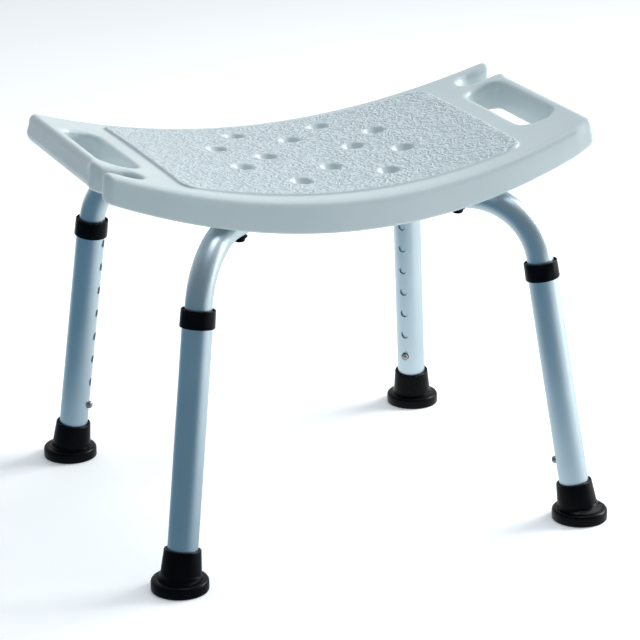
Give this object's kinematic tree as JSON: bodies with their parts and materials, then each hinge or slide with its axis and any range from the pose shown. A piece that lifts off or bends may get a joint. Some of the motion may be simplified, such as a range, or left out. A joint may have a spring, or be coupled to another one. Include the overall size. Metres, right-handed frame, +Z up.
{
  "type": "shower stool",
  "caption": "Backless shower stool: saddle-shaped plastic seat with hand holes, hose slots and drain holes on splayed telescopic aluminium legs with rubber feet.",
  "frame": {"origin": "on the floor, midway between the four feet and under the middle of the seat", "axes": "+X along the seat's long side, -Y is the front, +Z up"},
  "size_m": [0.4931, 0.412, 0.3843],
  "materials": {
    "seat_plastic": "textured white polyethylene",
    "upper_tube_aluminium": "satin anodised",
    "lower_tube_aluminium": "satin anodised",
    "collar_plastic": "gloss black",
    "foot_rubber": "smooth black",
    "button_steel": "polished",
    "spring_steel": "bright",
    "black_steel": "black oxide",
    "insert_brass": "plain"
  },
  "bodies": {
    "frame": {"seat_shell": "seat_plastic", "bolt_outer_front_left": "black_steel", "washer_outer_front_left": "black_steel", "insert_outer_front_left": "insert_brass", "bolt_inner_front_left": "black_steel", "washer_inner_front_left": "black_steel", "insert_inner_front_left": "insert_brass", "upper_tube_front_left": "upper_tube_aluminium", "button_spring_front_left": "spring_steel", "bolt_outer_front_right": "black_steel", "washer_outer_front_right": "black_steel", "insert_outer_front_right": "insert_brass", "bolt_inner_front_right": "black_steel", "washer_inner_front_right": "black_steel", "insert_inner_front_right": "insert_brass", "upper_tube_front_right": "upper_tube_aluminium", "button_spring_front_right": "spring_steel", "bolt_outer_back_left": "black_steel", "washer_outer_back_left": "black_steel", "insert_outer_back_left": "insert_brass", "bolt_inner_back_left": "black_steel", "washer_inner_back_left": "black_steel", "insert_inner_back_left": "insert_brass", "upper_tube_back_left": "upper_tube_aluminium", "button_spring_back_left": "spring_steel", "bolt_outer_back_right": "black_steel", "washer_outer_back_right": "black_steel", "insert_outer_back_right": "insert_brass", "bolt_inner_back_right": "black_steel", "washer_inner_back_right": "black_steel", "insert_inner_back_right": "insert_brass", "upper_tube_back_right": "upper_tube_aluminium", "button_spring_back_right": "spring_steel"},
    "leg_front_left": {"lower_tube_front_left": "lower_tube_aluminium", "collar_front_left": "collar_plastic", "foot_front_left": "foot_rubber"},
    "button_front_left": {"snap_button_front_left": "button_steel"},
    "leg_front_right": {"lower_tube_front_right": "lower_tube_aluminium", "collar_front_right": "collar_plastic", "foot_front_right": "foot_rubber"},
    "button_front_right": {"snap_button_front_right": "button_steel"},
    "leg_back_left": {"lower_tube_back_left": "lower_tube_aluminium", "collar_back_left": "collar_plastic", "foot_back_left": "foot_rubber"},
    "button_back_left": {"snap_button_back_left": "button_steel"},
    "leg_back_right": {"lower_tube_back_right": "lower_tube_aluminium", "collar_back_right": "collar_plastic", "foot_back_right": "foot_rubber"},
    "button_back_right": {"snap_button_back_right": "button_steel"}
  },
  "joints": [
    {"name": "leg_front_left_height", "type": "slide", "parent": "frame", "child": "leg_front_left", "axis": [-0.1297, -0.1084, -0.9856], "range_m": [0, 0.1778], "deforming": ["snap_button_front_left", "button_spring_front_left"]},
    {"name": "button_front_left_press", "type": "slide", "parent": "frame", "child": "button_front_left", "axis": [-0.7443, -0.6461, 0.169], "range_m": [0, 0.0054], "stiffness_N_per_m": 1200, "springref_m": -0.002, "deforming": ["button_spring_front_left"]},
    {"name": "leg_front_right_height", "type": "slide", "parent": "frame", "child": "leg_front_right", "axis": [0.1297, -0.1084, -0.9856], "range_m": [0, 0.1778], "deforming": ["snap_button_front_right", "button_spring_front_right"]},
    {"name": "button_front_right_press", "type": "slide", "parent": "frame", "child": "button_front_right", "axis": [0.7443, -0.6461, 0.169], "range_m": [0, 0.0054], "stiffness_N_per_m": 1200, "springref_m": -0.002, "deforming": ["button_spring_front_right"]},
    {"name": "leg_back_left_height", "type": "slide", "parent": "frame", "child": "leg_back_left", "axis": [-0.0848, 0.1089, -0.9904], "range_m": [0, 0.1778], "deforming": ["snap_button_back_left", "button_spring_back_left"]},
    {"name": "button_back_left_press", "type": "slide", "parent": "frame", "child": "button_back_left", "axis": [-0.7537, 0.6431, 0.1353], "range_m": [0, 0.0054], "stiffness_N_per_m": 1200, "springref_m": -0.002, "deforming": ["button_spring_back_left"]},
    {"name": "leg_back_right_height", "type": "slide", "parent": "frame", "child": "leg_back_right", "axis": [0.0848, 0.1089, -0.9904], "range_m": [0, 0.1778], "deforming": ["snap_button_back_right", "button_spring_back_right"]},
    {"name": "button_back_right_press", "type": "slide", "parent": "frame", "child": "button_back_right", "axis": [0.7537, 0.6431, 0.1353], "range_m": [0, 0.0054], "stiffness_N_per_m": 1200, "springref_m": -0.002, "deforming": ["button_spring_back_right"]}
  ]
}
